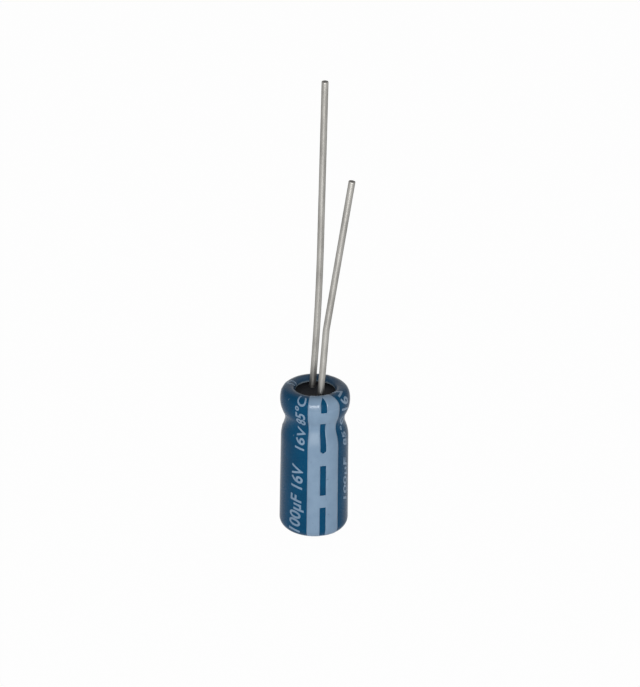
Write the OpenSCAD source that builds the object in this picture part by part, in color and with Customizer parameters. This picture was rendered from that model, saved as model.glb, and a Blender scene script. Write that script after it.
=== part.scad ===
// Radial aluminium electrolytic capacitor, 5 mm class, standing on its flat head
// with both leads up. Millimetres, +Z up, origin at the centre of the foot.

/* [Can] */
// Outside diameter of the drawn can
can_d = 5.0; // [4.6:0.1:6.3]
// Height from the foot to the top of the rolled mouth, film included
body_h = 11.6; // [9.5:0.05:15]
// Sheet thickness of the can
can_wall = 0.25; // [0.15:0.01:0.3]
// Outside corner radius of the can's closed end
foot_r = 0.68; // [0.4:0.02:0.9]
// How much the wall draws in from the foot to the bead, on the radius
wall_draft = 0.055; // [0:0.005:0.1]

/* [Bead and rolled mouth] */
// Depth of the bead that grips the seal, on the radius
bead_depth = 0.3; // [0.15:0.01:0.4]
// Profile radius of the shoulder below the bead
shoulder_r = 2.4; // [1.2:0.02:2.6]
// Profile radius of the bead groove
bead_r = 1.36; // [0.8:0.02:1.8]
// Profile radius of the bulge above the bead
bulge_r = 2.1; // [1.6:0.02:2.4]
// How far the bulge stands out past the wall, on the radius
bulge_out = 0.032; // [0:0.004:0.08]
// Profile radius where the bulge turns in over the seal
turn_r = 0.64; // [0.5:0.01:0.9]
// Profile radius of the rolled edge at the mouth
lip_r = 0.33; // [0.2:0.01:0.4]

/* [Sleeve] */
// Thickness of the shrunk film
film_t = 0.06; // [0.04:0.005:0.1]
// Air left between the film and the can
film_gap = 0.01; // [0.005:0.005:0.02]
// Width of the film's flat fold under the foot
fold_w = 0.12; // [0.06:0.01:0.5]

/* [Polarity print] */
// Width of the pale stripe, along the sleeve
stripe_w = 2.54; // [1.5:0.02:3.2]
// Thickness of the ink
ink_t = 0.03; // [0.01:0.005:0.04]
// Width of each minus bar left open in the stripe
bar_w = 0.49; // [0.3:0.01:0.8]
// Length of each minus bar, along the film
bar_l = 2.47; // [1.5:0.01:3]
// Distance from one minus bar to the next, along the film
bar_pitch = 3.48; // [3.2:0.02:4.5]
// Height of the middle of the lowest minus bar
bar_first = 1.45; // [1:0.01:2]
// How far in from the sleeve's outside the topmost bar starts to narrow
bar_narrow_in = 0.09; // [0.07:0.01:0.17]
// How far in from the sleeve's outside it comes to a point
bar_point_in = 0.54; // [0.27:0.01:0.67]

/* [Seal] */
// Depth from the rolled mouth down to the face of the rubber
mouth_depth = 0.6; // [0.4:0.01:0.8]
// Thickness of the rubber under its face
seal_t = 3.0; // [2.6:0.05:3.2]
// How far in from the can's outside the flat part of the rubber's face begins
face_in = 1.12; // [1.05:0.01:1.2]
// Clearance of the rubber to the can, the stems and the wires
seal_fit = 0.01; // [0.005:0.005:0.02]

/* [Leads] */
// Diameter of the tinned wire
wire_d = 0.5; // [0.4:0.01:0.6]
// Distance between the two leads where they leave the rubber
lead_pitch = 2.0; // [1.6:0.05:2.1]
// Lean of both leads as they leave the rubber, in degrees
lead_lean = 4; // [0.5:0.25:5]
// Length of the positive wire above the rubber
positive_l = 24.35; // [22:0.05:30]
// Straight length of the positive wire above the rubber, before its bow
positive_straight = 0.5; // [0.5:0.1:4]
// Radius of the positive wire's slow bow back toward upright
positive_bow_r = 200; // [100:5:250]
// Angle of the positive wire's bow, in degrees
positive_bow_angle = 3.2; // [0.5:0.1:3.6]
// Length of the negative wire above the rubber
negative_l = 17.35; // [15:0.05:22]
// Straight length of the negative wire above the rubber, before its bend
negative_straight = 5.3; // [2:0.1:6]
// Radius of the negative wire's bend
negative_bend_r = 5; // [2:0.5:40]
// Angle of the negative wire's bend, in degrees
negative_bend_angle = 4.8; // [1:0.1:12]

/* [Tabs] */
// Diameter of the aluminium stem inside the rubber
stem_d = 0.9; // [0.7:0.01:1]
// Depth of the weld between wire and stem, below the face of the rubber
weld_depth = 1.2; // [0.8:0.05:1.5]
// Thickness of the flattened end that lies in the winding
tab_t = 0.12; // [0.08:0.01:0.15]
// Width of the flattened end, around the winding
tab_w = 1.1; // [0.8:0.05:1.3]
// Length of the flattened end inside the winding
tab_l = 4.5; // [3:0.1:5]

/* [Winding] */
// Thickness of the etched anode foil
anode_t = 0.08; // [0.06:0.005:0.1]
// Thickness of the cathode foil
cathode_t = 0.04; // [0.03:0.005:0.06]
// Thickness of the separator paper
paper_t = 0.04; // [0.03:0.005:0.06]
// Air left between neighbouring plies
ply_gap = 0.005; // [0.005:0.001:0.01]
// Radius of the hole that the mandrel leaves
core_r = 0.45; // [0.35:0.01:0.55]
// Thickness of the closing tape
tape_t = 0.04; // [0.03:0.005:0.06]
// Clearance of the winding to the wall, on the radius
roll_gap = 0.03; // [0.02:0.005:0.1]
// Clearance of the winding to the closed end
floor_gap = 0.12; // [0.05:0.01:0.3]
// Room between the winding and the rubber
head_gap = 0.6; // [0.4:0.05:1]
// How far the paper stands past the foils at each end
paper_over = 0.2; // [0.1:0.05:0.4]

/* [Hidden] */
$fn = 96;
arc_steps = 10;
bow_fn = 720;
joint_gap = 0.004;

sleeve_blue = [0.05, 0.27, 0.42];
ink_pale = [0.72, 0.78, 0.86];
aluminium = [0.78, 0.79, 0.8];
rubber_black = [0.15, 0.13, 0.14];
tin_grey = [0.62, 0.61, 0.59];
foil_grey = [0.66, 0.67, 0.68];
paper_tan = [0.85, 0.78, 0.64];
tape_amber = [0.8, 0.62, 0.3];

// The can's outer surface is a chain of arcs that meet without a corner. Any
// parallel surface, inside or outside it, has the same centres and other radii.
cover = film_gap + film_t;
wall_foot_r = can_d / 2;
sleeve_r = wall_foot_r + cover;
wall_top_r = wall_foot_r - wall_draft;
neck_r = wall_top_r - bead_depth;
turn_from = 12.5;
turn_to = 85;
roll_end = 180;
wall_end = 100;
print_from = -45;
print_end = 150;
lip_rise = lip_r + (turn_r - lip_r) * sin(turn_to);
bulge_c = [
    wall_foot_r + bulge_out - bulge_r,
    body_h - cover - lip_rise - (bulge_r - turn_r) * sin(turn_from)
];
bead_c = below(bulge_c, neck_r + bead_r, bulge_r + bead_r);
shoulder_c = below(bead_c, wall_top_r - shoulder_r, bead_r + shoulder_r);
foot_c = [wall_foot_r - foot_r, cover + foot_r];
bare_r = foot_c[0] - fold_w;
turn_c = bulge_c + (bulge_r - turn_r) * [cos(turn_from), sin(turn_from)];
lip_c = turn_c + (turn_r - lip_r) * [cos(turn_to), sin(turn_to)];

// Seal
seal_top = body_h - mouth_depth;
seal_foot = seal_top - seal_t;
weld_z = seal_top - weld_depth;
wire_foot = wire_d / 2 * sin(lead_lean);
seal_up = weld_depth / cos(lead_lean);

// Winding: its plies share one pitch, and each half turn has its own centre.
can_floor = cover + can_wall;
paper_z0 = can_floor + floor_gap;
paper_z1 = seal_foot - head_gap;
foil_z0 = paper_z0 + paper_over;
foil_z1 = paper_z1 - paper_over;
anode_at = 0;
inner_paper_at = anode_at + anode_t + ply_gap;
cathode_at = inner_paper_at + paper_t + ply_gap;
outer_paper_at = cathode_at + cathode_t + ply_gap;
pitch = outer_paper_at + paper_t + ply_gap;
half = pitch / 2;
tab_room = (tab_t + ply_gap) / 2;
roll_r = wall_top_r - can_wall - roll_gap;
half_turns = floor((roll_r - tape_t - half / 2 - core_r - 4 * tab_room) / half) - 1;

// The half turns whose far side is nearest to each stem carry the tabs: an even
// one on the positive side, an odd one on the negative side.
positive_turn = 2 * round((lead_pitch / 2 - tab_t / 2 - pitch - core_r) / pitch);
negative_turn = positive_turn + 1;
// The outer paper lies outside the negative tab already on that tab's half turn, and
// the positive tab lies on the outer paper.
paper_early = 2;
positive_tab_r = turn_radius(positive_turn, paper_early) + pitch;
negative_tab_r = turn_radius(negative_turn, 0) + outer_paper_at;

// Centre of an arc that touches, from below, the arc round `from`
function below(from, r, reach) = [r, from[1] - sqrt(pow(reach, 2) - pow(r - from[0], 2))];

// Direction from one centre to another, in degrees
function toward(a, b) = atan2(b[1] - a[1], b[0] - a[0]);

// Points along an arc, without its first one
function arc(c, r, from, to) = [
    for (i = [1:arc_steps])
        let (a = from + (to - from) * i / arc_steps)
        c + r * [cos(a), sin(a)]
];

function reversed(list) = [for (i = [len(list) - 1:-1:0]) list[i]];

function without_first(list) = [for (i = [1:len(list) - 1]) list[i]];

// Place reached after going a length s along a line of points
function along(line, s, i = 0) =
    let (leg = norm(line[i + 1] - line[i]))
    s <= leg || i == len(line) - 2
        ? line[i] + (line[i + 1] - line[i]) * min(1, s / leg)
        : along(line, s - leg, i + 1);

// Height on the sleeve of what was printed at height s before the film was shrunk
function film_z(s) = s < foot_c[1] ? s : along(upright_profile(cover), s - foot_c[1])[1];

// The wall's profile at distance o outside the can's surface, foot to mouth
function wall_profile(o, from = -90, to = turn_to) = concat(
    [foot_c + (foot_r + o) * [cos(from), sin(from)]],
    arc(foot_c, foot_r + o, from, 0),
    without_first(upright_profile(o, to))
);

// The part of it above the foot's corner
function upright_profile(o, to = turn_to) = concat(
    [[wall_foot_r + o, foot_c[1]], [wall_top_r + o, shoulder_c[1]]],
    arc(shoulder_c, shoulder_r + o, 0, toward(shoulder_c, bead_c)),
    arc(bead_c, bead_r - o, 180 + toward(shoulder_c, bead_c), 180 + toward(bulge_c, bead_c)),
    arc(bulge_c, bulge_r + o, toward(bulge_c, bead_c), turn_from),
    arc(turn_c, turn_r + o, turn_from, to)
);

// The rolled edge, from the top of the turn to the inside of the mouth
function lip_profile(o, to = roll_end) = arc(lip_c, lip_r + o, turn_to, to);

// Half steps that a ply has taken round a tab which starts at half turn h
function steps(k, h) = max(0, min(2, k - h));

// Radius and centre of half turn k. A ply can start its way round the negative tab a
// number of half turns early.
function turn_radius(k, early) = core_r + k * half
    + tab_room * (steps(k, positive_turn) + steps(k, negative_turn - early));
function turn_centre(k, early) = (k % 2) * half - half / 2
    + (steps(k, positive_turn) == 1 ? tab_room : 0)
    - (steps(k, negative_turn - early) == 1 ? tab_room : 0);

// Heat-shrunk film with its edge folded under the foot and over the rolled mouth
module sleeve() {
    color(sleeve_blue)
        rotate_extrude()
            polygon(concat(
                [[bare_r, cover - film_gap], [bare_r, 0]],
                wall_profile(cover),
                lip_profile(cover),
                reversed(lip_profile(film_gap)),
                reversed(wall_profile(film_gap))
            ));
}

// Minus bar left open between two heights. It keeps its angle where the wall draws
// in, and one that runs over the rolled mouth narrows to a point there.
module minus_bar(low, high) {
    bar_a = bar_w / sleeve_r * 180 / PI;
    point_r = sleeve_r - bar_point_in;
    narrow_r = sleeve_r - bar_narrow_in;
    if (high < bulge_c[1])
        rotate([0, 0, -90 - bar_a / 2])
            rotate_extrude(angle = bar_a)
                translate([point_r, low])
                    square([can_d, high - low]);
    else
        translate([0, 0, low])
            linear_extrude(body_h)
                polygon([
                    [-bar_w / 2, -can_d],
                    [bar_w / 2, -can_d],
                    [bar_w / 2, -narrow_r],
                    [0, -point_r],
                    [-bar_w / 2, -narrow_r]
                ]);
}

// Pale ink stripe down the negative side
module polarity_print() {
    outer = cover + ink_t;
    stripe_a = stripe_w / sleeve_r * 180 / PI;
    color(ink_pale)
        difference() {
            rotate([0, 0, -90 - stripe_a / 2])
                rotate_extrude(angle = stripe_a)
                    polygon(concat(
                        wall_profile(outer, from = print_from),
                        lip_profile(outer, to = print_end),
                        reversed(lip_profile(cover, to = print_end)),
                        reversed(wall_profile(cover, from = print_from))
                    ));
            for (s = [bar_first - bar_l / 2:bar_pitch:turn_c[1]])
                minus_bar(film_z(s), film_z(s + bar_l));
        }
}

// Deep-drawn cup, beaded into the rubber and rolled in over its edge
module can() {
    color(aluminium)
        rotate_extrude()
            polygon(concat(
                [[0, cover]],
                wall_profile(0),
                lip_profile(0),
                reversed(wall_profile(-can_wall, to = wall_end)),
                [[0, can_floor]]
            ));
}

// Rubber bung, waisted by the bead and dished by the rolled mouth
module seal() {
    color(rubber_black)
        difference() {
            rotate_extrude()
                intersection() {
                    polygon(concat(
                        [[0, cover]],
                        wall_profile(-can_wall - seal_fit, to = wall_end),
                        [[wall_foot_r - face_in, seal_top], [0, seal_top]]
                    ));
                    translate([0, seal_foot])
                        square([can_d, body_h]);
                }
            for (side = [-1, 1]) {
                translate([0, side * lead_pitch / 2, seal_foot - seal_t])
                    cylinder(d = stem_d + 2 * seal_fit, h = 2 * seal_t - weld_depth + seal_fit);
                along_lead(side)
                    cylinder(d = wire_d + 2 * seal_fit, h = seal_up + wire_d);
            }
        }
}

// Frame of a lead: it starts at the weld on top of the stem and leans toward +X
module along_lead(side) {
    translate([0, side * lead_pitch / 2, weld_z])
        rotate([0, lead_lean, 0])
            children();
}

// Arc of wire that starts upright at the origin and bends toward +X
module bend(r, a) {
    translate([r, 0, 0])
        rotate([90, 0, 0])
            rotate([0, 0, 180 - a])
                rotate_extrude(angle = a, $fn = bow_fn)
                    translate([r, 0])
                        circle(d = wire_d, $fn = 48);
}

// Wire from the weld up: straight, bent by angle a at radius r, then straight.
// A ball a hair over the wire's size closes each joint.
module lead_wire(straight, r, a, tail) {
    rise = seal_up + straight;
    translate([0, 0, wire_foot])
        cylinder(d = wire_d, h = rise - wire_foot - joint_gap);
    translate([0, 0, rise])
        mirror([a < 0 ? 1 : 0, 0, 0]) {
            sphere(d = wire_d + joint_gap);
            bend(r, abs(a));
            translate([r * (1 - cos(a)), 0, r * sin(abs(a))])
                rotate([0, abs(a), 0]) {
                    sphere(d = wire_d + joint_gap);
                    translate([0, 0, joint_gap])
                        cylinder(d = wire_d, h = tail - joint_gap);
                }
        }
}

// Longer lead, bowed back until it stands nearly upright
module positive_lead() {
    bow = positive_bow_r * positive_bow_angle * PI / 180;
    color(tin_grey)
        along_lead(1)
            lead_wire(
                positive_straight,
                positive_bow_r,
                -positive_bow_angle,
                positive_l - positive_straight - bow
            );
}

// Shorter lead on the stripe's side, bent outward above the rubber
module negative_lead() {
    turned = negative_bend_r * negative_bend_angle * PI / 180;
    color(tin_grey)
        along_lead(-1)
            lead_wire(
                negative_straight,
                negative_bend_r,
                negative_bend_angle,
                negative_l - negative_straight - turned
            );
}

// Aluminium stem, flattened below the rubber into a tab that lies between plies
module tab(side, tab_r, centre_x) {
    reach = lead_pitch / 2;
    tab_a = tab_w / tab_r * 180 / PI;
    root = tab_t + ply_gap;
    flat_z = paper_z1 + ply_gap;
    color(aluminium) {
        // The stem is round inside the rubber and pressed flat toward the winding
        intersection() {
            translate([0, side * reach, flat_z])
                cylinder(d = stem_d, h = weld_z - flat_z);
            mirror([0, side < 0 ? 1 : 0, 0])
                rotate([90, 0, 90])
                    translate([0, 0, -stem_d])
                        linear_extrude(2 * stem_d)
                            polygon([
                                [tab_r - root, flat_z],
                                [tab_r + tab_t, flat_z],
                                [reach + stem_d, seal_foot],
                                [reach + stem_d, weld_z + stem_d],
                                [reach - stem_d, weld_z + stem_d],
                                [reach - stem_d, seal_foot]
                            ]);
        }
        translate([centre_x, 0, paper_z1 - tab_l])
            rotate([0, 0, side * 90 - tab_a / 2])
                rotate_extrude(angle = tab_a)
                    translate([tab_r, 0])
                        square([tab_t, tab_l + 2 * tab_t]);
    }
}

module positive_tab() {
    tab(1, positive_tab_r, turn_centre(positive_turn, paper_early));
}

module negative_tab() {
    tab(-1, negative_tab_r, turn_centre(negative_turn, 0));
}

// One wound ply: half turns on alternating centres, each joined face to face
module ply(at, thick, z0, z1, early = 0, from = 0, to = half_turns - 1) {
    for (k = [from:to])
        translate([turn_centre(k, early), 0, z0])
            rotate([0, 0, 180 * (k % 2)])
                rotate_extrude(angle = 180)
                    translate([turn_radius(k, early) + at, 0])
                        square([thick, z1 - z0]);
}

module anode_foil() {
    color(foil_grey)
        ply(anode_at, anode_t, foil_z0, foil_z1);
}

module cathode_foil() {
    color(aluminium)
        ply(cathode_at, cathode_t, foil_z0, foil_z1);
}

module separator_inner() {
    color(paper_tan)
        ply(inner_paper_at, paper_t, paper_z0, paper_z1);
}

module separator_outer() {
    color(paper_tan)
        ply(outer_paper_at, paper_t, paper_z0, paper_z1, early = paper_early);
}

// Tape that holds the last turn closed
module closing_tape() {
    color(tape_amber)
        ply(0, tape_t, foil_z0, foil_z1, from = half_turns, to = half_turns + 1);
}

sleeve();
polarity_print();
can();
seal();
positive_lead();
negative_lead();
positive_tab();
negative_tab();
anode_foil();
cathode_foil();
separator_inner();
separator_outer();
closing_tape();
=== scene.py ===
import bisect
import math

import bmesh
import bpy
from mathutils import Matrix, Vector, noise


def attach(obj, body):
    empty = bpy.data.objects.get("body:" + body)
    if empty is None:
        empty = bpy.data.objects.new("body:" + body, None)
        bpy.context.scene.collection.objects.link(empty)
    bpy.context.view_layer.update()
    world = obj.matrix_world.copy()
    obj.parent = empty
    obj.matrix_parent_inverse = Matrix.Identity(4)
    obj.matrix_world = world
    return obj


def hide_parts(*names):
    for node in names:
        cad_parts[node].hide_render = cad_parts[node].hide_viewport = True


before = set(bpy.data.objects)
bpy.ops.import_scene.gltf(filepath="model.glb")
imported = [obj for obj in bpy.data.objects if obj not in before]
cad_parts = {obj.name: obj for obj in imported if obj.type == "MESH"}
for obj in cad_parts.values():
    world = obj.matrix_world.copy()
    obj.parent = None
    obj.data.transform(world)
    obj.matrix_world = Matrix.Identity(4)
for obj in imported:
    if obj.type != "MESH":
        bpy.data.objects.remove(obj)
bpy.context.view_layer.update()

# Camera: a long lens on a tripod about 300 mm away, above the part and a little to
# the left of its stripe, rolled by less than a degree. Blender works in metres.
mm = 0.001
camera_azimuth = math.radians(17.5)
camera_elevation = math.radians(25.6)
camera_roll = math.radians(0.75)
camera_reach = 293.5 * mm
aim_height = 15.05 * mm
aim_right = 0.31 * mm
sensor = 36.0
focal_length = 208.7

to_camera = Vector((
    -math.sin(camera_azimuth) * math.cos(camera_elevation),
    -math.cos(camera_azimuth) * math.cos(camera_elevation),
    math.sin(camera_elevation),
))
camera_right = Vector((math.cos(camera_azimuth), -math.sin(camera_azimuth), 0))
aim = Vector((0, 0, aim_height)) + aim_right * camera_right
camera_data = bpy.data.cameras.new("camera")
camera_data.sensor_width = sensor
camera_data.lens = focal_length
camera_data.clip_start = 10 * mm
camera = bpy.data.objects.new("camera", camera_data)
camera.matrix_world = (
    Matrix.Translation(aim + camera_reach * to_camera)
    @ (-to_camera).to_track_quat("-Z", "Y").to_matrix().to_4x4()
    @ Matrix.Rotation(camera_roll, 4, "Z")
)
bpy.context.scene.collection.objects.link(camera)
bpy.context.scene.camera = camera
bpy.context.scene.view_settings.view_transform = "Standard"


# Light: a wide soft lamp low in front of the part, a faint one overhead, and a pale
# room with a darker ceiling. The paper that the part stands on is white to the camera
# and in reflections.
class Shade:
    """A socket's value in the material under way. Sums and products add Math nodes."""

    tree = None

    def __init__(self, socket):
        self.socket = socket

    @classmethod
    def node(cls, kind, settings=None, sockets=None, out=0):
        made = cls.tree.nodes.new(kind)
        for name, value in (settings or {}).items():
            if name == "stops":
                ramp = made.color_ramp
                while len(ramp.elements) < len(value):
                    ramp.elements.new(0.5)
                for element, (position, colour) in zip(ramp.elements, value):
                    element.position = position
                    element.color = (*colour, 1) if len(colour) == 3 else colour
            else:
                setattr(made, name, value)
        for name, value in (sockets or {}).items():
            cls.join(made.inputs[name], value)
        return cls(made.outputs[out]) if made.outputs else None

    @classmethod
    def join(cls, socket, value):
        if isinstance(value, Shade):
            cls.tree.links.new(value.socket, socket)
        elif hasattr(value, "__len__") and len(value) == 3 and socket.type == "RGBA":
            socket.default_value = (*value, 1)
        else:
            socket.default_value = value

    def math(self, operation, other=0.0):
        return Shade.node("ShaderNodeMath", {"operation": operation}, {0: self, 1: other})

    def __add__(self, other):
        return self.math("ADD", other)

    __radd__ = __add__

    def __mul__(self, other):
        return self.math("MULTIPLY", other)

    __rmul__ = __mul__

    def __sub__(self, other):
        return self.math("SUBTRACT", other)

    def __rsub__(self, other):
        return Shade.node("ShaderNodeMath", {"operation": "SUBTRACT"}, {0: other, 1: self})

    def __truediv__(self, other):
        return self.math("DIVIDE", other)

    def power(self, other):
        return self.math("POWER", other)

    def step(self, low, high):
        """0 below low, 1 above high, smooth between."""
        return Shade.node(
            "ShaderNodeMapRange",
            {"interpolation_type": "SMOOTHSTEP"},
            {"Value": self, "From Min": low, "From Max": high},
        )

    def mix(self, from_colour, to_colour):
        """The two colours mixed, with this value as the share of the second."""
        return Shade.node(
            "ShaderNodeMix",
            {"data_type": "RGBA"},
            {"Factor": self, 6: from_colour, 7: to_colour},
            out=2,
        )


def place():
    """Where a point of the object is, in metres."""
    return Shade.node("ShaderNodeTexCoord", out=3)


def axes(vector):
    """The vector's x, y and z."""
    split = Shade.tree.nodes.new("ShaderNodeSeparateXYZ")
    Shade.join(split.inputs[0], vector)
    return [Shade(split.outputs[i]) for i in range(3)]


def stretched(vector, x, y, z):
    """The vector with a factor on each axis. A small one draws a pattern out along it."""
    return Shade.node("ShaderNodeVectorMath", {"operation": "MULTIPLY"}, {0: vector, 1: (x, y, z)})


def speckle(vector, per_mm, detail=3.0, roughness=0.55):
    """Uneven tone from 0 to 1, with so many grains in a millimetre."""
    return Shade.node(
        "ShaderNodeTexNoise",
        {},
        {"Vector": vector, "Scale": per_mm / mm, "Detail": detail, "Roughness": roughness},
    )


def bump(height, depth_mm, strength=1.0):
    sockets = {"Height": height, "Distance": depth_mm * mm, "Strength": strength}
    return Shade.node("ShaderNodeBump", {}, sockets)


def start_material(name):
    """A new material, whose nodes are made next."""
    material = bpy.data.materials.new(name)
    material.use_nodes = True
    Shade.tree = material.node_tree
    Shade.tree.nodes.clear()
    return material


def surface(shader):
    Shade.node("ShaderNodeOutputMaterial", {}, {"Surface": shader})


def finish_material(**sockets):
    """Ends the material under way with one Principled shader."""
    named = {name.replace("_", " "): value for name, value in sockets.items()}
    surface(Shade.node("ShaderNodeBsdfPrincipled", {}, named))


white = (1, 1, 1)
paper_grey = (0.86, 0.86, 0.86)
paper_half = 1500 * mm
paper_gap = 0.02 * mm
paper_shown_white = 0.98

floor_corners = ((-1, -1), (1, -1), (1, 1), (-1, 1))
floor_mesh = bpy.data.meshes.new("floor")
floor_mesh.from_pydata(
    [(x * paper_half, y * paper_half, -paper_gap) for x, y in floor_corners],
    [],
    [(0, 1, 2, 3)],
)
floor = bpy.data.objects.new("floor", floor_mesh)
bpy.context.scene.collection.objects.link(floor)
floor_mesh.materials.append(start_material("white_paper"))
seen = Shade.node("ShaderNodeLightPath", out=0)
glossy = Shade.node("ShaderNodeLightPath", out=3)
through = Shade.node("ShaderNodeLightPath", out=6)
shown_white = (seen + glossy + through).math("MINIMUM", 1.0) * paper_shown_white
paper = Shade.node("ShaderNodeBsdfDiffuse", {}, {"Color": paper_grey})
glow = Shade.node("ShaderNodeEmission", {}, {"Color": white, "Strength": 1.0})
surface(Shade.node("ShaderNodeMixShader", {}, {0: shown_white, 1: paper, 2: glow}))

room_level = 0.52
ceiling_drop = 0.36
mirrored_white = 0.6
world = bpy.data.worlds.new("room")
bpy.context.scene.world = world
world.use_nodes = True
Shade.tree = world.node_tree
Shade.tree.nodes.clear()
seen = Shade.node("ShaderNodeLightPath", out=0)
glossy = Shade.node("ShaderNodeLightPath", out=3)
through = Shade.node("ShaderNodeLightPath", out=6)
white_share = (seen + glossy * mirrored_white + through).math("MINIMUM", 1.0)
upward = axes(Shade.node("ShaderNodeTexCoord", out=0))[2].math("MAXIMUM", 0.0)
dim_level = room_level - upward * ceiling_drop
level = white_share * (1 - dim_level) + dim_level
room_light = Shade.node("ShaderNodeBackground", {}, {"Color": white, "Strength": level})
Shade.node("ShaderNodeOutputWorld", {}, {"Surface": room_light})

lamp_aim = 10 * mm


def soft_lamp(name, azimuth, elevation, reach, width, height, power):
    """A lamp that faces the part, in degrees, metres and watts, from the camera's side round."""
    turn = camera_azimuth + math.radians(azimuth)
    tilt = math.radians(elevation)
    away = Vector((
        -math.sin(turn) * math.cos(tilt),
        -math.cos(turn) * math.cos(tilt),
        math.sin(tilt),
    ))
    data = bpy.data.lights.new(name, "AREA")
    data.shape = "RECTANGLE"
    data.size = width
    data.size_y = height
    data.energy = power
    lamp = bpy.data.objects.new(name, data)
    lamp.matrix_world = (
        Matrix.Translation(Vector((0, 0, lamp_aim)) + reach * away)
        @ (-away).to_track_quat("-Z", "Y").to_matrix().to_4x4()
    )
    bpy.context.scene.collection.objects.link(lamp)


soft_lamp("front_lamp", 1, 9, 0.30, 0.20, 0.11, 0.62)
soft_lamp("top_lamp", 30, 60, 0.30, 0.20, 0.20, 0.02)


# Sleeve: a tube of blue film, 0.06 mm thick, shrunk onto the can with hot air. Its
# ends are gathered under the foot and over the rolled mouth, and it keeps faint
# ripples where it had to shrink most. Sizes are in millimetres from here on.
can_radius = 2.5
body_height = 11.6
cover = 0.07
film_thickness = 0.06
foot_radius = 0.68
wall_draft = 0.055
bead_depth = 0.3
shoulder_bend = 2.4
bead_bend = 1.36
bulge_bend = 2.1
bulge_out = 0.032
turn_bend = 0.64
lip_bend = 0.33
turn_from = 12.5
turn_to = 85
bare_disc = 1.7
around = 288
wall_steps = 40
same_point = 1e-9
slow_ripple = 0.006
bead_ripple = 0.009
bead_ripple_reach = 1.1
gathered_crease = 0.012
foot_gather = 0.9
mouth_gather_from = 10.9
mouth_gather = 0.6

wall_top = can_radius - wall_draft
neck = wall_top - bead_depth


def polar(centre, radius, degrees):
    """The point at a distance and an angle from a centre, as (radius, height)."""
    angle = math.radians(degrees)
    return (centre[0] + radius * math.cos(angle), centre[1] + radius * math.sin(angle))


def below(centre, radius, reach):
    """The point at a distance below a centre that has the given radius."""
    return (radius, centre[1] - math.sqrt(reach**2 - (radius - centre[0]) ** 2))


def toward(a, b):
    """The angle from one point to another, in degrees."""
    return math.degrees(math.atan2(b[1] - a[1], b[0] - a[0]))


lip_rise = lip_bend + (turn_bend - lip_bend) * math.sin(math.radians(turn_to))
bulge_centre = (
    can_radius + bulge_out - bulge_bend,
    body_height - cover - lip_rise - (bulge_bend - turn_bend) * math.sin(math.radians(turn_from)),
)
bead_centre = below(bulge_centre, neck + bead_bend, bulge_bend + bead_bend)
shoulder_centre = below(bead_centre, wall_top - shoulder_bend, bead_bend + shoulder_bend)
foot_centre = (can_radius - foot_radius, cover + foot_radius)
turn_centre = polar(bulge_centre, bulge_bend - turn_bend, turn_from)
lip_centre = polar(turn_centre, turn_bend - lip_bend, turn_to)


def arc(centre, radius, start, end, steps):
    """Points along an arc, without its first."""
    return [polar(centre, radius, start + (end - start) * i / steps) for i in range(1, steps + 1)]


def film_profile(out, start=-90.0, end=180.0):
    """Points in mm up the film, at distance out from the can, from foot to mouth."""
    points = [polar(foot_centre, foot_radius + out, start)]
    points += arc(foot_centre, foot_radius + out, start, 0, 14)
    low = points[-1][1]
    for i in range(1, wall_steps + 1):
        share = i / wall_steps
        height = low + (shoulder_centre[1] - low) * share
        points.append((can_radius - wall_draft * share + out, height))
    neck_from = toward(shoulder_centre, bead_centre)
    neck_to = toward(bulge_centre, bead_centre)
    points += arc(shoulder_centre, shoulder_bend + out, 0, neck_from, 12)
    points += arc(bead_centre, bead_bend - out, 180 + neck_from, 180 + neck_to, 18)
    points += arc(bulge_centre, bulge_bend + out, neck_to, turn_from, 16)
    points += arc(turn_centre, turn_bend + out, turn_from, turn_to, 18)
    points += arc(lip_centre, lip_bend + out, turn_to, end, 14)
    return points


def ripple(angle, radius, height):
    """Height in mm of the film's shrink ripples at a place on the sleeve."""
    at = Vector((math.cos(angle), math.sin(angle), 0)) * 2.2
    at_foot = max(0.0, 1 - height / foot_gather)
    at_mouth = max(0.0, (height - mouth_gather_from) / mouth_gather)
    in_bead = math.exp(-(((height - bead_centre[1]) / bead_ripple_reach) ** 2))
    slow = noise.noise(at * 0.9 + Vector((0, 0, height * 0.35)))
    quick = noise.noise(at * 4.0 + Vector((5, 1, height * 1.3)))
    creases = gathered_crease * (at_foot + at_mouth) * abs(quick)
    return slow_ripple * slow + bead_ripple * in_bead * quick - creases


def turned(name, profile, close=False, shape=None):
    """A lathed mesh from (radius, height) points. Points on the axis become one."""
    mesh = bpy.data.meshes.new(name)
    verts = []
    for k in range(around):
        angle = 2 * math.pi * k / around
        for radius, height in profile:
            r = radius + (shape(angle, radius, height) if shape else 0)
            verts.append((r * math.cos(angle) * mm, r * math.sin(angle) * mm, height * mm))
    rows = len(profile)
    faces = []
    for k in range(around):
        here = k * rows
        there = ((k + 1) % around) * rows
        for i in range(rows if close else rows - 1):
            up = (i + 1) % rows
            faces.append((here + i, there + i, there + up, here + up))
    mesh.from_pydata(verts, [], faces)
    welded = bmesh.new()
    welded.from_mesh(mesh)
    bmesh.ops.remove_doubles(welded, verts=welded.verts, dist=same_point)
    welded.to_mesh(mesh)
    welded.free()
    return mesh


def piece(name, mesh, material, *nodes, slot=None):
    """Puts a mesh on the part's body, in place of the named nodes."""
    mesh.validate()
    for polygon in mesh.polygons:
        polygon.use_smooth = True
    made = bpy.data.objects.new(name, mesh)
    bpy.context.scene.collection.objects.link(made)
    mesh.materials.append(material)
    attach(made, "root")
    if nodes:
        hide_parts(*nodes)
    return made


def lengths(points):
    """How far each point lies along the line, in mm."""
    runs = [0.0]
    for a, b in zip(points, points[1:]):
        runs.append(runs[-1] + math.dist(a, b))
    return runs


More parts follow.
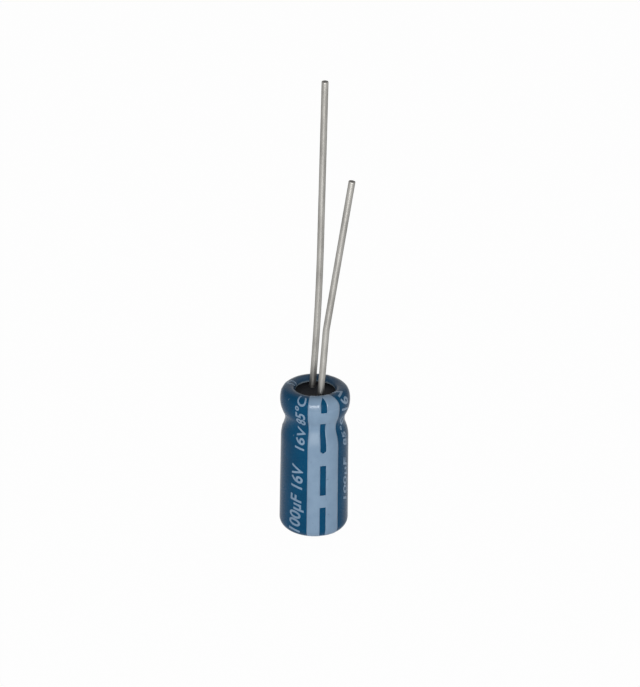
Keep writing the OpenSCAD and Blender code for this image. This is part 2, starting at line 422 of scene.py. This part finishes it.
def film_at(run, out):
    """Radius and height in mm at a length along the film's outside, from the foot."""
    i = min(max(bisect.bisect_right(film_runs, run) - 1, 0), len(film_runs) - 2)
    share = (run - film_runs[i]) / (film_runs[i + 1] - film_runs[i])
    (r0, z0), (r1, z1) = film_line[i], film_line[i + 1]
    slope = math.atan2(z1 - z0, r1 - r0)
    return (
        r0 + (r1 - r0) * share + out * math.sin(slope),
        z0 + (z1 - z0) * share - out * math.cos(slope),
    )


film_line = film_profile(cover)
film_runs = lengths(film_line)
film_inside = film_profile(cover - film_thickness)
film_loop = [(bare_disc, 0.0), *film_line, *reversed(film_inside), (bare_disc, film_thickness)]
sleeve_mesh = turned("sleeve_film", film_loop, close=True, shape=ripple)

film_blue = (0.0004, 0.061, 0.142)
film_deep = (0.0003, 0.050, 0.119)
film_dust = (0.25, 0.3, 0.36)
film_drawn = (0.10, 0.105, 0.12)
film_edge_highlight = (0.20, 0.25, 0.29)
blue_film = start_material("blue_film")
where = place()
x, y, z = axes(where)
out_from_axis = (x * x + y * y).power(0.5) / mm
height_mm = z / mm
cloud = speckle(where, 0.55, 4.0)
grain = speckle(where, 9.0, 4.0, 0.6)
dust = speckle(where, 3.6, 2.0, 0.4).step(0.73, 0.8)
shrink_lines = speckle(stretched(where, 1, 1, 0.25), 2.2, 3.0)
over_mouth = (1 - out_from_axis.step(1.6, 2.3)) * height_mm.step(11.15, 11.4)
# Painted highlight: a pale line along the film's cut edge at the mouth, partly the cut edge's own
# tone and partly a painted gleam.
cut_edge_highlight = (1 - out_from_axis.step(1.478, 1.515)) * height_mm.step(11.12, 11.18)
colour = cloud.step(0.35, 0.7).mix(film_blue, film_deep)
colour = (dust * 0.35).mix(colour, film_dust)
colour = (over_mouth * 0.3).mix(colour, film_drawn)
colour = cut_edge_highlight.mix(colour, film_edge_highlight)
finish_material(
    Base_Color=colour,
    Roughness=0.22 + grain * 0.1 + dust * 0.2,
    Specular_IOR_Level=0.1,
    Coat_Weight=height_mm.step(11.42, 11.58) * 0.3,
    Coat_Roughness=0.12,
    Normal=bump(shrink_lines * 0.7 + grain * 0.3, 0.012, 0.5),
)
piece("sleeve_film", sleeve_mesh, blue_film, "sleeve")

# Polarity stripe: pale ink printed on the film before it was shrunk. Minus bars are
# left open in it, and the topmost one narrows to a point on the rolled mouth.
ink_thickness = 0.03
ink_edge_share = 0.6
stripe_width = 2.49
bar_width = 0.45
bar_length = 2.47
bar_pitch = 3.48
bar_first = 1.45
bar_narrow_radius = 2.48
bar_point_radius = 2.03
stripe_start = -45.0
stripe_end = 150.0
corner_ramp = 0.012
pointed_bar = 2
pointed_ramp = 0.16
bar_count = 4
top_bar_reach = 2.5
stripe_steps = 190
stripe_columns = 14
stripe_turn = math.radians(-1.3)
bar_turn = math.radians(-1.0)
gather_from = 11.0
gather_reach = 1.3
gather_turn = math.radians(13.0)

stripe_half = stripe_width / (can_radius + cover) / 2
bar_half = bar_width / (can_radius + cover) / 2
upright_from = next(run for run, (r, z) in zip(film_runs, film_line) if z > foot_centre[1] - 0.001)


def printed_height(run):
    """Height that a place along the film had before the film was shrunk."""
    return foot_centre[1] + run - upright_from


def bar_opening(run, radius):
    """Half the angle that a minus bar leaves open in the stripe at a place."""
    height = printed_height(run)
    bar = round((height - bar_first) / bar_pitch)
    off = abs(height - bar_first - bar * bar_pitch)
    over_mouth = height > printed_height(film_runs[-1]) - top_bar_reach
    if over_mouth and height > bar_first + bar * bar_pitch - bar_length / 2:
        narrowing = (radius - bar_point_radius) / (bar_narrow_radius - bar_point_radius)
        return bar_half * min(1.0, max(0.0, narrowing))
    pointed = bar == pointed_bar and height < bar_first + bar * bar_pitch
    inside = (bar_length / 2 - off) / (pointed_ramp if pointed else corner_ramp)
    return bar_half * min(1.0, max(0.0, round(inside, 6)))


def stripe_angle(side, opening, share, run):
    """Angle on the sleeve of a place in the stripe, from its bar to its edge."""
    drawn_in = min(1.0, max(0.0, (printed_height(run) - gather_from) / gather_reach))
    edge = stripe_turn + side * stripe_half - (gather_turn * drawn_in**1.5 if side > 0 else 0.0)
    bar = stripe_turn + bar_turn + side * opening
    return -math.pi / 2 + bar + (edge - bar) * share


def stripe_rows():
    """Lengths along the film at which the stripe's mesh has a row."""
    first = film_runs[0] + (stripe_start + 90) / 90 * (upright_from - film_runs[0])
    last = film_runs[-1] - lip_bend * math.radians(180 - stripe_end)
    rows = [first + (last - first) * i / stripe_steps for i in range(stripe_steps + 1)]
    for bar in range(bar_count):
        for end in (-1, 1):
            height = bar_first + bar * bar_pitch + end * bar_length / 2
            at = height - foot_centre[1] + upright_from
            rows += [at, at - end * corner_ramp]
    return sorted(run for run in rows if first <= run <= last)


across = [i / stripe_columns for i in range(stripe_columns + 1)]
stripe = bpy.data.meshes.new("stripe_ink")
verts = []
faces = []
rows = stripe_rows()
openings = [bar_opening(run, film_at(run, 0.0)[0]) for run in rows]
for side in (-1, 1):
    for layer in (0, 1):
        for run, opening in zip(rows, openings):
            for share in across:
                angle = stripe_angle(side, opening, share, run)
                at_edge = layer == 1 and (share == 1 or (share == 0 and opening > 0))
                lift = ink_thickness * (ink_edge_share if at_edge else layer)
                radius, height = film_at(run, lift)
                r = radius + ripple(angle, radius, height)
                verts.append((r * math.cos(angle) * mm, r * math.sin(angle) * mm, height * mm))
row_length = len(across)
layer_size = len(rows) * row_length
for half in (0, 1):
    base = half * 2 * layer_size
    for i in range(len(rows) - 1):
        for j in range(row_length - 1):
            for layer in (0, 1):
                a = base + layer * layer_size + i * row_length + j
                quad = (a, a + 1, a + 1 + row_length, a + row_length)
                faces.append(quad if (half == 1) == (layer == 1) else quad[::-1])
        for j in (0, row_length - 1):
            if j == 0 and openings[i] == 0 and openings[i + 1] == 0:
                continue
            a = base + i * row_length + j
            b = a + layer_size
            quad = (a, a + row_length, b + row_length, b)
            faces.append(quad[::-1] if (half == 1) == (j == 0) else quad)
    for i in (0, len(rows) - 1):
        for j in range(row_length - 1):
            a = base + i * row_length + j
            b = a + layer_size
            quad = (a, a + 1, b + 1, b)
            faces.append(quad if (half == 1) == (i == 0) else quad[::-1])
stripe.from_pydata(verts, [], faces)

ink_pale = (0.205, 0.305, 0.425)
ink_cool = (0.178, 0.272, 0.388)
ink_worn_and_shaded = (0.12, 0.205, 0.32)
ink_speck = (0.07, 0.1, 0.15)
pale_ink = start_material("pale_ink")
where = place()
height_mm = axes(where)[2] / mm
cloud = speckle(where, 0.8, 4.0)
grain = speckle(where, 10.0, 3.0, 0.6)
specks = speckle(where, 4.5, 2.0, 0.4).step(0.70, 0.76)
shrink_lines = speckle(stretched(where, 1, 1, 0.25), 2.2, 3.0)
colour = cloud.step(0.35, 0.68).mix(ink_pale, ink_cool)
colour = (grain.step(0.55, 0.75) * 0.3).mix(colour, ink_worn_and_shaded)
# Painted shade: the ink is darker towards the foot, in the same darker tone that its random wear
# uses.
colour = ((1 - height_mm.step(0.5, 4.5)) * 0.12).mix(colour, ink_worn_and_shaded)
colour = (specks * 0.6).mix(colour, ink_speck)
finish_material(
    Base_Color=colour,
    Roughness=0.42 - height_mm.step(10.5, 10.8) * 0.22 + grain * 0.08,
    Normal=bump(shrink_lines * 0.6 + grain * 0.4, 0.01, 0.5),
)
piece("stripe_ink", stripe, pale_ink, "polarity_print")

# Rating: the capacitance, voltage and heat limit in the same pale ink. Slanted figures
# run up the film on both sides of the stripe and at the back, and the upper ones are
# drawn over the mouth with the film.
letter_slant = 0.2
letter_cut = 0.1
stroke_spread = 0.018
stroke_corner = 0.6
print_lift = 0.014
print_sink = 0.006
letter_weld = 0.0001
# Words, letter height, height of the first letter's foot, length of the line, and the
# angle from the stripe's middle at the first and at the last letter
ratings = (
    ("100µF 16V", 0.95, 0.45, 5.7, -52.5, -47.0),
    ("16V 85°C", 0.80, 7.35, 4.6, -44.5, -42.5),
    ("100µF", 0.50, 2.6, 3.7, 48.0, 47.0),
    ("85°C", 0.55, 7.2, 2.6, 46.0, 44.0),
    ("16V", 0.85, 10.25, 2.2, 42.0, 40.0),
    ("100µF 16V", 0.95, 0.6, 5.4, 139.0, 140.0),
    ("16V 85°C", 0.80, 7.2, 4.6, 141.0, 143.0),
    ("100µF 16V", 0.95, 0.6, 5.4, -130.0, -128.0),
    ("16V 85°C", 0.80, 8.0, 4.6, -126.0, -124.0),
)

rating_mesh = bpy.data.meshes.new("rating_ink")
all_letters = bmesh.new()
for words, letter_height, foot, line_length, turn_foot, turn_head in ratings:
    font_curve = bpy.data.curves.new("rating", "FONT")
    font_curve.body = words
    font_curve.shear = letter_slant
    font_curve.resolution_u = 6
    font_object = bpy.data.objects.new("rating", font_curve)
    bpy.context.scene.collection.objects.link(font_object)
    flat = bpy.data.meshes.new_from_object(font_object)
    bpy.data.objects.remove(font_object)
    letters = bmesh.new()
    letters.from_mesh(flat)
    sides = {}
    for edge in letters.edges:
        if edge.is_boundary:
            loop = edge.link_loops[0]
            along = (loop.link_loop_next.vert.co - loop.vert.co).normalized()
            for vert in edge.verts:
                sides.setdefault(vert, []).append(Vector((along.y, -along.x, 0)))
    for vert, (one, other) in sides.items():
        vert.co += (one + other) * stroke_spread / max(stroke_corner, 1 + one.dot(other))
    left = min(vert.co.x for vert in letters.verts)
    right = max(vert.co.x for vert in letters.verts)
    head = max(vert.co.y for vert in letters.verts)
    for vert in letters.verts:
        vert.co.x = (vert.co.x - left) / (right - left) * line_length
        vert.co.y = vert.co.y / head * letter_height
    for axis, reach in ((Vector((1, 0, 0)), line_length), (Vector((0, 1, 0)), 2 * letter_height)):
        for i in range(-4, math.ceil(reach / letter_cut)):
            bmesh.ops.bisect_plane(
                letters,
                geom=letters.verts[:] + letters.edges[:] + letters.faces[:],
                plane_co=axis * i * letter_cut,
                plane_no=axis,
            )
    bmesh.ops.remove_doubles(letters, verts=letters.verts, dist=letter_weld)
    bmesh.ops.dissolve_degenerate(letters, edges=letters.edges, dist=letter_weld)
    fronts = bmesh.ops.extrude_face_region(letters, geom=letters.faces[:])["geom"]
    for made in fronts:
        if isinstance(made, bmesh.types.BMVert):
            made.co.z = 1.0
    bmesh.ops.recalc_face_normals(letters, faces=letters.faces)
    for vert in letters.verts:
        share = vert.co.x / line_length
        turn = math.radians(turn_foot + (turn_head - turn_foot) * share)
        run = foot + vert.co.x - foot_centre[1] + upright_from
        radius, height = film_at(run, print_lift if vert.co.z > 0.5 else -print_sink)
        angle = -math.pi / 2 + turn - (vert.co.y - letter_height / 2) / (can_radius + cover)
        radius += ripple(angle, radius, height)
        vert.co = (radius * math.cos(angle) * mm, radius * math.sin(angle) * mm, height * mm)
    letters.to_mesh(flat)
    all_letters.from_mesh(flat)
    letters.free()
all_letters.to_mesh(rating_mesh)
all_letters.free()
piece("rating_ink", rating_mesh, pale_ink, slot="pale_ink")
rating_mesh.set_sharp_from_angle(angle=math.radians(45))

# Can: a cup deep-drawn from aluminium. Only the disc under the foot is bare, with
# the fine rings of the drawing punch on it.
can_bright = (0.72, 0.725, 0.73)
can_scuffed = (0.56, 0.565, 0.57)
drawn_aluminium = start_material("drawn_aluminium")
where = place()
x, y, z = axes(where)
out_from_axis = (x * x + y * y).power(0.5) / mm
rings = Shade.node(
    "ShaderNodeTexNoise",
    {"noise_dimensions": "1D"},
    {"W": out_from_axis * 14.0, "Scale": 1.0, "Detail": 4.0, "Roughness": 0.65},
)
scuffs = speckle(stretched(where, 1, 0.25, 1), 2.5, 4.0, 0.6)
finish_material(
    Base_Color=scuffs.step(0.3, 0.75).mix(can_bright, can_scuffed),
    Metallic=1.0,
    Roughness=0.34 + rings * 0.14 + scuffs * 0.08,
    Normal=bump(rings * 0.7 + scuffs * 0.3, 0.006, 0.5),
)


def finish_node(name, material):
    """Gives a carried-over solid its material."""
    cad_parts[name].data.materials.clear()
    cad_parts[name].data.materials.append(material)


for name in ("can", "positive_tab", "negative_tab"):
    finish_node(name, drawn_aluminium)

# Seal: a moulded bung of black rubber under the rolled mouth. Its face is dished
# by the roll and rises in a small collar round each wire.
seal_face = 11.0
seal_thickness = 3.0
flat_face = 1.38
seal_fit = 0.01
can_wall = 0.25
lead_pitch = 2.0
wire_radius = 0.25
edge_to = 100
face_steps = 24
face_unevenness = 0.008
collar_height = 0.06
collar_spread = 0.16
weld_depth = 1.2
lead_lean = 4.0
wire_shift = weld_depth * math.tan(math.radians(lead_lean))


def seal_lift(px, py):
    """How far the rubber stands above its face in mm."""
    lift = 0.0
    for side in (-1, 1):
        off = math.hypot(px - wire_shift, py - side * lead_pitch / 2) - wire_radius
        lift = max(lift, collar_height * math.exp(-((max(off, 0.0) / collar_spread) ** 2)))
    return lift + face_unevenness * noise.noise(Vector((px, py, 0)) * 3)


seal_foot = seal_face - seal_thickness
can_inside = film_profile(-can_wall - seal_fit, end=turn_to)
seal_profile = [
    (0.0, seal_foot),
    *((radius, height) for radius, height in can_inside if seal_foot < height < turn_centre[1]),
    *arc(turn_centre, turn_bend - can_wall - seal_fit, turn_from, edge_to, 12),
    *((flat_face * i / face_steps, seal_face) for i in range(face_steps, -1, -1)),
]
seal_mesh = turned("seal_rubber", seal_profile)
for vert in seal_mesh.vertices:
    px, py, pz = vert.co / mm
    if pz > seal_face - 0.001 and math.hypot(px, py) <= flat_face + 0.001:
        vert.co.z += seal_lift(px, py) * mm
rubber_black = (0.008, 0.009, 0.012)
rubber_bloom = (0.016, 0.017, 0.022)
black_rubber = start_material("black_rubber")
where = place()
pores = speckle(where, 6.0, 4.0, 0.65)
bloom = speckle(where, 0.9, 3.0)
finish_material(
    Base_Color=bloom.step(0.35, 0.7).mix(rubber_black, rubber_bloom),
    Roughness=0.55 + pores * 0.25,
    Specular_IOR_Level=0.25,
    Normal=bump(pores, 0.02, 0.7),
)
piece("seal_rubber", seal_mesh, black_rubber, "seal")

# Leads: tinned steel-cored wire, 0.5 mm thick, welded to the stems inside the
# rubber and cut to length at the tips. The longer one is the positive lead.
wire_sides = 40
wire_step = 0.15
# How far each ring of a tip lies back from its end, and in from the wire's outside
tip_rounding = ((0.03, 0.0), (0.012, 0.008), (0.0, 0.03), (0.02, 0.15))
# Name, node it replaces, side, length above the rubber, straight length at the foot,
# radius and angle of the bend
leads = (
    ("positive_wire", "positive_lead", 1, 24.35, 0.5, 200.0, -3.2),
    ("negative_wire", "negative_lead", -1, 17.35, 5.3, 5.0, 4.8),
)


def wire_path(length, straight, bend_radius, bend):
    """Points (x, z) and lean along a wire in mm, from its weld to its tip."""
    x = 0.0
    z = seal_face - weld_depth
    lean = math.radians(lead_lean)
    below_face = weld_depth / math.cos(lean)
    bend_length = bend_radius * math.radians(abs(bend))
    sunk = wire_radius * math.sin(lean)
    stretches = (
        (below_face + straight, 0.0),
        (bend_length, math.radians(bend)),
        (length - straight - bend_length - sunk, 0.0),
    )
    x += sunk * math.sin(lean)
    z += sunk
    path = [(x, z, lean)]
    for reach, turn in stretches:
        steps = max(4, round(reach / wire_step))
        for i in range(steps):
            lean += turn / steps / 2
            x += math.sin(lean) * reach / steps
            z += math.cos(lean) * reach / steps
            lean += turn / steps / 2
            path.append((x, z, lean))
    return path


tin_bright = (0.43, 0.42, 0.395)
tin_dull = (0.33, 0.32, 0.30)
tin_fleck = (0.24, 0.235, 0.22)
tin_scratch = (0.22, 0.215, 0.205)
tinned_wire = start_material("tinned_wire")
where = place()
flecks = speckle(where, 7.0, 4.0, 0.65)
drawn = speckle(stretched(where, 1, 1, 0.06), 9.0, 3.0, 0.6)
stains = speckle(stretched(where, 1, 1, 0.35), 1.1, 3.0)
colour = stains.step(0.35, 0.7).mix(tin_bright, tin_dull)
colour = (flecks.step(0.56, 0.72) * 0.3).mix(colour, tin_fleck)
colour = (drawn.step(0.52, 0.7) * 0.3).mix(colour, tin_scratch)
finish_material(
    Base_Color=colour,
    Metallic=1.0,
    Roughness=0.37 + flecks * 0.12,
    Specular_Tint=(0.15, 0.15, 0.15),
    Normal=bump(drawn * 0.7 + flecks * 0.3, 0.008, 0.4),
)
steel_cut = (0.2, 0.19, 0.18)
steel_dark = (0.1, 0.095, 0.09)
cut_steel = start_material("cut_steel")
shear_marks = speckle(stretched(place(), 1, 0.15, 1), 8.0, 3.0)
finish_material(
    Base_Color=shear_marks.mix(steel_cut, steel_dark),
    Metallic=1.0,
    Roughness=0.42 + shear_marks * 0.2,
    Normal=bump(shear_marks, 0.02, 0.7),
)
for name, node, side, length, straight, bend_radius, bend in leads:
    path = wire_path(length, straight, bend_radius, bend)
    tip_x, tip_z, tip_lean = path.pop()
    rings = [(x, z, lean, wire_radius) for x, z, lean in path]
    for back, inset in tip_rounding:
        rings.append((
            tip_x - back * math.sin(tip_lean),
            tip_z - back * math.cos(tip_lean),
            tip_lean,
            wire_radius - inset,
        ))
    verts = []
    for x, z, lean, radius in rings:
        for k in range(wire_sides):
            angle = 2 * math.pi * k / wire_sides
            out = radius * math.cos(angle)
            verts.append((
                (x + out * math.cos(lean)) * mm,
                (side * lead_pitch / 2 + radius * math.sin(angle)) * mm,
                (z - out * math.sin(lean)) * mm,
            ))
    faces = [
        (i * wire_sides + k, i * wire_sides + (k + 1) % wire_sides,
         (i + 1) * wire_sides + (k + 1) % wire_sides, (i + 1) * wire_sides + k)
        for i in range(len(rings) - 1)
        for k in range(wire_sides)
    ]
    wall_faces = len(faces) - wire_sides
    faces.append(tuple(range(wire_sides))[::-1])
    faces.append(tuple((len(rings) - 1) * wire_sides + k for k in range(wire_sides)))
    mesh = bpy.data.meshes.new(name)
    mesh.from_pydata(verts, [], faces)
    piece(name, mesh, tinned_wire, node)
    mesh.materials.append(cut_steel)
    for index in (*range(wall_faces, wall_faces + wire_sides), len(faces) - 1):
        mesh.polygons[index].material_index = 1
        mesh.polygons[index].use_smooth = False

# Winding: etched and plain aluminium foils rolled up with two papers, and closed
# with a strip of amber tape. All of it is sealed inside the can.
etched_pale = (0.5, 0.5, 0.51)
etched_dull = (0.38, 0.385, 0.39)
foil_bright = (0.74, 0.745, 0.75)
foil_dull = (0.62, 0.625, 0.63)
paper_pale = (0.7, 0.62, 0.47)
paper_soaked = (0.56, 0.48, 0.34)
tape_amber = (0.62, 0.38, 0.1)
tape_dark = (0.48, 0.28, 0.06)
etched_foil = start_material("etched_foil")
etching = speckle(place(), 12.0, 4.0, 0.7)
finish_material(
    Base_Color=etching.mix(etched_pale, etched_dull),
    Metallic=1.0,
    Roughness=0.55 + etching * 0.2,
    Normal=bump(etching, 0.01, 0.6),
)
plain_foil = start_material("plain_foil")
rolled = speckle(stretched(place(), 1, 1, 0.1), 8.0, 3.0)
finish_material(
    Base_Color=rolled.mix(foil_bright, foil_dull),
    Metallic=1.0,
    Roughness=0.25 + rolled * 0.15,
    Normal=bump(rolled, 0.005, 0.5),
)
separator_paper = start_material("separator_paper")
fibres = speckle(stretched(place(), 1, 1, 0.4), 7.0, 5.0, 0.7)
finish_material(
    Base_Color=fibres.mix(paper_pale, paper_soaked),
    Roughness=0.8 + fibres * 0.1,
    Normal=bump(fibres, 0.015, 0.6),
)
closing_tape = start_material("closing_tape")
smears = speckle(place(), 1.5, 3.0)
finish_material(
    Base_Color=smears.mix(tape_amber, tape_dark),
    Roughness=0.22 + smears * 0.15,
    Normal=bump(smears, 0.01, 0.4),
)
for name, material in (
    ("anode_foil", etched_foil),
    ("cathode_foil", plain_foil),
    ("separator_inner", separator_paper),
    ("separator_outer", separator_paper),
    ("closing_tape", closing_tape),
):
    finish_node(name, material)
